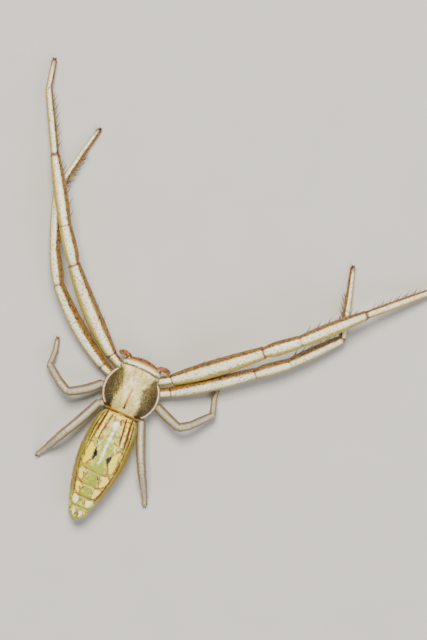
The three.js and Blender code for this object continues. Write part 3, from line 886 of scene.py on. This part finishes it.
# Hip place, the femur's outward bow, then for the five lengths the length seen from above
# and the heading from straight ahead, out to the leg's own side
STANCE = {
    "leg_1_left": ((1.88, 1.48, 1.3), 0.12, (5.55, 2.18, 4.13, 3.9, 1.74), (46.5, 37, 33, 30, 14)),
    "leg_1_right": ((1.8, 1.58, 1.3), 0.05, (5.5, 2.1, 4.05, 3.75, 1.74), (49, 49, 44, 46, 42)),
    "leg_2_left": ((2.05, 0.74, 1.05), 0.2, (5.3, 1.9, 3.43, 2.73, 1.59), (53, 31, 22, -9, -11)),
    "leg_2_right": ((2.0, 0.9, 1.05), 0.05, (5.0, 1.99, 3.32, 2.68, 1.55), (53, 50, 41, -15, -16)),
    "leg_3_left": ((1.72, -0.18, 1.1), 0.12, (2.05, 0.7, 1.1, 0.85, 0.75), (127, 63, 55, 3, 16)),
    "leg_3_right": ((1.68, -0.12, 1.1), 0.04, (1.7, 0.65, 1.4, 0.96, 0.75), (110, 57, 42, -18, -6)),
    "leg_4_left": ((1.42, -1.22, 1.1), 0.04, (2.57, 0.5, 0.75, 0.5, 0.45), (155, 155, 154, 153, 153)),
    "leg_4_right": ((1.2, -1.22, 1.1), 0.04, (2.45, 0.55, 0.85, 0.6, 0.5), (156, 152, 150, 151, 158)),
}

# Spines, bristles and hairs

SPINE_ROWS = ((-0.25, 0.0), (-0.95, 0.4))  # how far each row hangs below level, and its stagger
SPINE_RADIUS = 0.04
SPINE_LEAN = 1.25
TIBIA_SPINES = 5
FOOT_SPINES = 6
# Share of the way along, lift above level and length of each bristle on a front femur
THIGH_SPINES = ((0.34, 0.5, 0.5), (0.5, 0.25, 0.4), (0.64, 0.6, 0.36))
PALE_BRISTLE_LENGTH = 0.48
FRONT_HAIRS = (50, 24, 60, 70, 90)
REAR_HAIRS = (24, 10, 26, 40, 60)
SHORT_HAIR = 0.11
LONG_HAIR = 0.15
SPIKE_TIP = 0.12  # a spike's tip radius as a share of its root's


def girth(length, share):
    """Radius of a length of leg at a share of the way along it."""
    root, widest, tip = length.radii
    if share < length.widest:
        swell, end = math.sin(math.pi / 2 * share / length.widest), root
    else:
        swell, end = math.cos(math.pi / 2 * (share - length.widest) / (1 - length.widest)), tip
    return end + (widest - end) * swell


def length_mesh(length, inner, sides=40, rows=44, roll=0.0):
    """One round length of leg with blunt ends and a slightly raised rim at its far end.

    Its skin place is inner, above and along; roll turns the pattern up from the inner side.
    """
    axis = length.end - length.start
    run = axis.length
    upward = math.copysign(1, axis.cross(inner).z)
    profile = [(0.0, 0.0)]
    for row in range(1, rows):
        share = row / rows
        ends = clamp(min(share, 1 - share) * run / BLUNT_END)
        rim = RIM_HEIGHT * bump_of((1 - share) * run - RIM_SETBACK, RIM_WIDTH)
        radius = girth(length, share) * math.sqrt(1 - (1 - ends) ** 2) + rim
        profile.append((radius, share * run))
    profile.append((0.0, run))
    bm = turned(profile, sides)
    layer = bm.verts.layers.float_vector.new("skin_place")
    for vertex in bm.verts:
        around = math.atan2(upward * vertex.co.y, vertex.co.x) - roll
        place = length.index + clamp(vertex.co.z / run, 0.0, 0.995)
        vertex[layer] = Vector((math.cos(around), math.sin(around), place))
    bm.transform(axes_along(length.start, length.end, inner))
    for vertex in bm.verts:
        share = clamp((vertex.co - length.start).dot(axis) / run**2)
        vertex.co += length.bow * math.sin(math.pi * share)
    return bm


def place_on(length, share):
    """The middle of a length of leg at a share of the way along it."""
    straight = length.start.lerp(length.end, share)
    return straight + length.bow * math.sin(math.pi * share)


def inner_side(length, side):
    """The level direction towards the other front leg."""
    run = (length.end - length.start).normalized()
    return Vector((-run.y, run.x, 0)).normalized() * side


def directions(length, side):
    return (length.end - length.start).normalized(), inner_side(length, side)


def root_on(length, share, out, depth):
    """A bristle's root at a share of the way along, so far out as a share of the radius."""
    return place_on(length, share) + out * depth * girth(length, share)


def leg_joints(name, side):
    """The hip and the far ends of the five lengths."""
    hip, _, spans, headings = STANCE[name]
    joints = [Vector((side * hip[0], hip[1], hip[2]))]
    for span, heading, height in zip(spans, headings, LEG_HEIGHTS[name[4]]):
        angle = math.radians(heading)
        end = joints[-1] + Vector((side * span * math.sin(angle), span * math.cos(angle), 0))
        end.z = height
        joints.append(end)
    return joints


def leg_lengths(name, side):
    """The hip piece and the five lengths of a leg."""
    pair, bow = name[4], STANCE[name][1]
    joints = leg_joints(name, side)
    lengths = []
    for index, radii in enumerate(LEG_RADII[pair]):
        run = (joints[index + 1] - joints[index]).normalized()
        outward = Vector((run.y, -run.x, 0)).normalized() * side * (0 if index else bow)
        start = joints[index] - run * (JOINT_OVERLAP if index else HIP_OVERLAP)
        end = joints[index + 1] + run * (JOINT_OVERLAP if index < 4 else 0)
        widest = LENGTH_WIDEST if index else FEMUR_WIDEST
        lengths.append(Length(start, end, radii, widest, index, outward))
    x, y, heading = COXAE[pair]
    angle = math.radians(heading)
    aim = Vector((side * math.sin(angle), math.cos(angle), 0))
    root = Vector((side * x, y, COXA_HEIGHT)) - aim * 0.05
    hip_end = joints[0] + (joints[1] - joints[0]).normalized() * 0.1
    coxa = Length(root, hip_end, COXA_RADII, 0.5, 0, STRAIGHT)
    return coxa, lengths


def add_spike(bm, root, direction, length, radius, sides=5, bend=0.0):
    """A tapered bristle, hair or claw, curved a little where bend isn't zero."""
    spike = bmesh.new()
    bmesh.ops.create_cone(
        spike,
        cap_ends=True,
        segments=sides,
        radius1=radius,
        radius2=radius * SPIKE_TIP,
        depth=length,
        matrix=Matrix.Translation((0, 0, length / 2)),
    )
    if bend:
        edges = [e for e in spike.edges if abs(e.verts[0].co.z - e.verts[1].co.z) > length / 2]
        bmesh.ops.subdivide_edges(spike, edges=edges, cuts=2, use_grid_fill=True)
        for vertex in spike.verts:
            vertex.co.x += bend * length * (vertex.co.z / length) ** 2
    turn = direction.to_track_quat("Z", "X").to_matrix().to_4x4()
    spike.transform(Matrix.Translation(root) @ turn)
    add_to(bm, spike)


def add_spines(bm, length, side, count):
    """Two rows of stout bristles under the inner side, as on the solids."""
    axis, inner = directions(length, side)
    for i in range(count):
        for drop, stagger in SPINE_ROWS:
            share = 0.14 + 0.76 * (i + stagger) / count
            out = (inner + Vector((0, 0, drop))).normalized()
            lean = (out + axis * SPINE_LEAN).normalized()
            size = 0.4 * girth(length, share) + 0.42
            add_spike(bm, root_on(length, share, out, 0.8), lean, size, SPINE_RADIUS, 7, 0.12)


def add_pale_bristles(bm, length, side, count):
    """A row of long pale bristles that stand out level from the inner side."""
    axis, inner = directions(length, side)
    for i in range(count):
        share = 0.1 + 0.8 * (i + DICE.uniform(0.0, 0.8)) / count
        out = (inner + Vector((0, 0, DICE.uniform(-0.2, 0.3)))).normalized()
        lean = (out + axis * DICE.uniform(1.2, 2.0)).normalized()
        add_spike(bm, root_on(length, share, out, 0.9), lean, PALE_BRISTLE_LENGTH, 0.018, 5, 0.1)


def add_thigh_spines(bm, length, side):
    """A few long bristles on the upper inner side of a femur."""
    axis, inner = directions(length, side)
    for share, lift, size in THIGH_SPINES:
        out = (inner + Vector((0, 0, lift))).normalized()
        lean = (out * 0.6 + axis).normalized()
        add_spike(bm, root_on(length, share, out, 0.95), lean, size, 0.024, 6, 0.1)


def add_hairs(bm, length, side, count, size):
    """Short fine hairs all round a length, leaning towards its tip."""
    axis, inner = directions(length, side)
    above = axis.cross(inner)
    for _ in range(count):
        share = DICE.uniform(0.06, 0.97)
        angle = DICE.uniform(0, math.tau)
        out = inner * math.cos(angle) + above * math.sin(angle)
        root = root_on(length, share, out, 0.97)
        lean = (out + axis * DICE.uniform(0.9, 1.7)).normalized()
        if root.z + lean.z * size > 0.01:
            add_spike(bm, root, lean, size * DICE.uniform(0.7, 1.25), 0.009, 3)


def add_claws(bm, length, side):
    """Two curved claws and a small dark tuft at the tip of a foot."""
    axis, inner = directions(length, side)
    for spread in (-0.35, 0.35):
        root = length.end - axis * 0.04 + inner * spread * 0.1
        aim = (axis + inner * spread + Vector((0, 0, 0.1))).normalized()
        add_spike(bm, root, aim, 0.17, 0.025, 6, -0.15)
    for _ in range(22):
        spread = inner * DICE.uniform(-1, 1) + Vector((0, 0, DICE.uniform(-0.2, 1)))
        root = length.end - axis * DICE.uniform(0.03, 0.14) + spread * 0.07
        add_spike(bm, root, (axis * 1.4 + spread).normalized(), DICE.uniform(0.08, 0.13), 0.016, 4)


def add_leg_skins(name, side, coxa, lengths, material):
    roll = SECOND_LEG_ROLL if name[4] == "2" else 0.0
    groups = {
        "femur": [coxa, lengths[0]],
        "patella": [lengths[1]],
        "tibia": [lengths[2]],
        "foot": [lengths[3], lengths[4]],
    }
    for part, members in groups.items():
        bm = bmesh.new()
        for length in members:
            add_to(bm, length_mesh(length, inner_side(length, side), roll=roll))
        add_piece(f"{name}_{part}_skin", bm, material, [f"{name}_{part}"])


def add_leg(name):
    front = name[4] in "12"
    side = -1 if name.endswith("left") else 1
    coxa, lengths = leg_lengths(name, side)
    material, slot = (FRONT_LEG, "front_leg_skin") if front else (REAR_LEG, "rear_leg_skin")
    add_leg_skins(name, side, coxa, lengths, material)
    hairs = bmesh.new()
    if front:
        spines = bmesh.new()
        add_thigh_spines(spines, lengths[0], side)
        add_spines(spines, lengths[2], side, TIBIA_SPINES)
        add_spines(spines, lengths[3], side, FOOT_SPINES)
        add_piece(f"{name}_spines", spines, BRISTLE)
        add_pale_bristles(hairs, lengths[2], side, 6)
        add_pale_bristles(hairs, lengths[3], side, 9)
    for length, count in zip(lengths, FRONT_HAIRS if front else REAR_HAIRS):
        size = SHORT_HAIR if length.index < 3 else LONG_HAIR
        add_hairs(hairs, length, side, count, size)
    add_piece(f"{name}_hairs", hairs, HAIR)
    claws = bmesh.new()
    add_claws(claws, lengths[4], side)
    add_piece(f"{name}_claws", claws, BRISTLE)


# Small parts of the head and underside

PALP_JOINTS = (
    (0.56, 1.5, 1.12),
    (0.86, 1.79, 1.24),
    (1.11, 1.94, 1.26),
    (1.34, 1.94, 1.08),
    (1.52, 1.86, 0.76),
)
PALP_RADII = ((0.12, 0.14, 0.13), (0.13, 0.15, 0.13), (0.12, 0.14, 0.12), (0.12, 0.13, 0.05))
FACE_BRISTLES = 13
BELLY_HAIRS = 520


def add_palp(name, side):
    joints = [Vector((side * x, y, z)) for x, y, z in PALP_JOINTS]
    bm, hairs = bmesh.new(), bmesh.new()
    for index, radii in enumerate(PALP_RADII):
        start, end = joints[index], joints[index + 1]
        run = (end - start).normalized()
        length = Length(start - run * 0.11, end + run * 0.09, radii, 0.5, index, STRAIGHT)
        add_to(bm, length_mesh(length, inner_side(length, side), 28, 24))
        add_hairs(hairs, length, side, 14 + 12 * index, 0.12)
    add_piece(f"{name}_skin", bm, ORANGE, [name])
    add_piece(f"{name}_hairs", hairs, HAIR)


def add_jaws():
    for side_name, side in (("left", -1), ("right", 1)):
        root = Vector((side * 0.27, 1.74, SHIELD_FLOOR + 0.12))
        tip = Vector((side * 0.22, 1.66, 0.7))
        jaw = Length(root, tip, (0.24, 0.25, 0.16), 0.35, 0, STRAIGHT)
        bm = length_mesh(jaw, Vector((0, 1, 0)), 36, 30)
        add_piece(f"chelicera_{side_name}_skin", bm, ORANGE, [f"chelicera_{side_name}"])
        hairs = bmesh.new()
        add_hairs(hairs, jaw, side, 60, SHORT_HAIR)
        add_piece(f"chelicera_{side_name}_hairs", hairs, HAIR)
        fang = bmesh.new()
        inward = Vector((-side * 0.55, -0.3, -0.6)).normalized()
        add_spike(fang, Vector((side * 0.22, 1.64, 0.74)), inward, 0.36, 0.065, 12, 0.2)
        add_piece(f"fang_{side_name}_horn", fang, DARK, [f"fang_{side_name}"])


def add_face_bristles():
    """Stiff bristles along the front edge of the face and a few standing behind the ridge."""
    bm = bmesh.new()
    for x in np.linspace(-0.85, 0.85, FACE_BRISTLES):
        root = Vector((x, face_front(x) - 0.05, 1.72))
        aim = Vector((0.3 * x + DICE.uniform(-0.1, 0.1), 1, -0.15 + DICE.uniform(-0.1, 0.15)))
        add_spike(bm, root, aim.normalized(), DICE.uniform(0.22, 0.34), 0.014, 5, 0.15)
    for x in (-0.9, -0.3, 0.3, 0.9):
        root = Vector((x, ridge_at(x) - 0.12, 2.4))
        add_spike(bm, root, Vector((x * 0.3, 0.5, 1)).normalized(), 0.24, 0.012, 5, 0.1)
    add_piece("face_bristles", bm, BRISTLE)


def add_breast_plate():
    bm = ball(64, 32)
    for vertex in bm.verts:
        x, y, z = vertex.co
        high = SHIELD_FLOOR - COXA_HEIGHT if z > 0 else 0.38
        taper = 1 - 0.12 * (y < 0) * y * y
        vertex.co = (0.8 * x * taper, 0.02 + 0.98 * y, COXA_HEIGHT + high * rounded(z, 0.45))
    add_piece("sternum_skin", bm, PALE, ["sternum"])
    lip = ball(40, 24)
    for vertex in lip.verts:
        x, y, z = vertex.co
        cleft = 0.12 * bump_of(x, 0.25)
        vertex.co = (0.43 * x, 1.33 + 0.21 * y, 1.1 + (0.28 - cleft * (z < 0)) * z)
    add_piece("mouthparts_skin", lip, ORANGE, ["mouthparts"])
    rear = Vector((0, ABDOMEN_FRONT - 0.1, 1.32))
    waist = Length(Vector((0, -0.9, 1.2)), rear, (0.25, 0.27, 0.25), 0.5, 0, STRAIGHT)
    add_piece("pedicel_skin", length_mesh(waist, Vector((1, 0, 0))), PALE, ["pedicel"])


def add_spinnerets():
    root = Vector((0, ABDOMEN_FRONT - 5.8, 0.94))
    back_down = Vector((0, -0.75, -0.66)).normalized()
    bm = bmesh.new()
    for side in (-1, 1):
        for lift, reach in ((0.07, 0.46), (-0.07, 0.4)):
            start = root + Vector((side * 0.11, 0.02 + 0.66 * lift, -0.75 * lift))
            aim = (back_down + Vector((side * 0.12, 0, 0))).normalized()
            tube = Length(start, start + aim * reach, (0.12, 0.13, 0.07), 0.3, 0, STRAIGHT)
            add_to(bm, length_mesh(tube, Vector((1, 0, 0)), 24, 24))
    add_piece("spinnerets_skin", bm, PALE, ["spinnerets"])


def add_belly_hairs():
    """Very short hairs lying back over the belly, closest together on its narrow last rings."""
    bm = bmesh.new()
    for _ in range(BELLY_HAIRS):
        along = DICE.uniform(0.1, 6.45)
        around = DICE.uniform(-1.9, 1.9)
        root = belly_place(along, around, belly_half(along))
        out = Vector((math.sin(around), 0, math.cos(around) / ABDOMEN_DEPTH)).normalized()
        lean = (out * 0.6 + Vector((0, -1, 0))).normalized()
        add_spike(bm, root, lean, DICE.uniform(0.07, 0.13), 0.007, 3)
    add_piece("belly_hairs", bm, HAIR)


add_shield()
add_eyes()
add_belly()
add_belly_hairs()
for leg in STANCE:
    add_leg(leg)
add_palp("palp_left", -1)
add_palp("palp_right", 1)
add_jaws()
add_face_bristles()
add_breast_plate()
add_spinnerets()

# Floor and light


def add_floor():
    bm = bmesh.new()
    bmesh.ops.create_grid(bm, x_segments=2, y_segments=2, size=0.6)
    mesh = bpy.data.meshes.new("floor")
    bm.to_mesh(mesh)
    bm.free()
    mesh.materials.append(CARD)
    floor = bpy.data.objects.new("floor", mesh)
    bpy.context.collection.objects.link(floor)


def add_light(name, place, size, power, tint):
    """A square lamp that looks at the spider, with its place and size in metres."""
    data = bpy.data.lights.new(name, "AREA")
    data.size = size
    data.energy = power
    data.color = colour(tint)[:3]
    lamp = bpy.data.objects.new(name, data)
    lamp.location = place
    lamp.rotation_euler = (-Vector(place)).to_track_quat("-Z", "Y").to_euler()
    bpy.context.collection.objects.link(lamp)


def add_sky():
    world = bpy.data.worlds.new("studio")
    world.use_nodes = True
    sky = world.node_tree.nodes["Background"]
    sky.inputs["Color"].default_value = colour("#f4f6f8")
    sky.inputs["Strength"].default_value = 0.32
    bpy.context.scene.world = world


add_floor()
add_light("key", (-0.06, 0.1, 0.32), 0.12, 1.9, "#fff8ea")
add_light("fill", (0.2, -0.1, 0.24), 0.2, 0.5, "#f4f6ff")
add_sky()
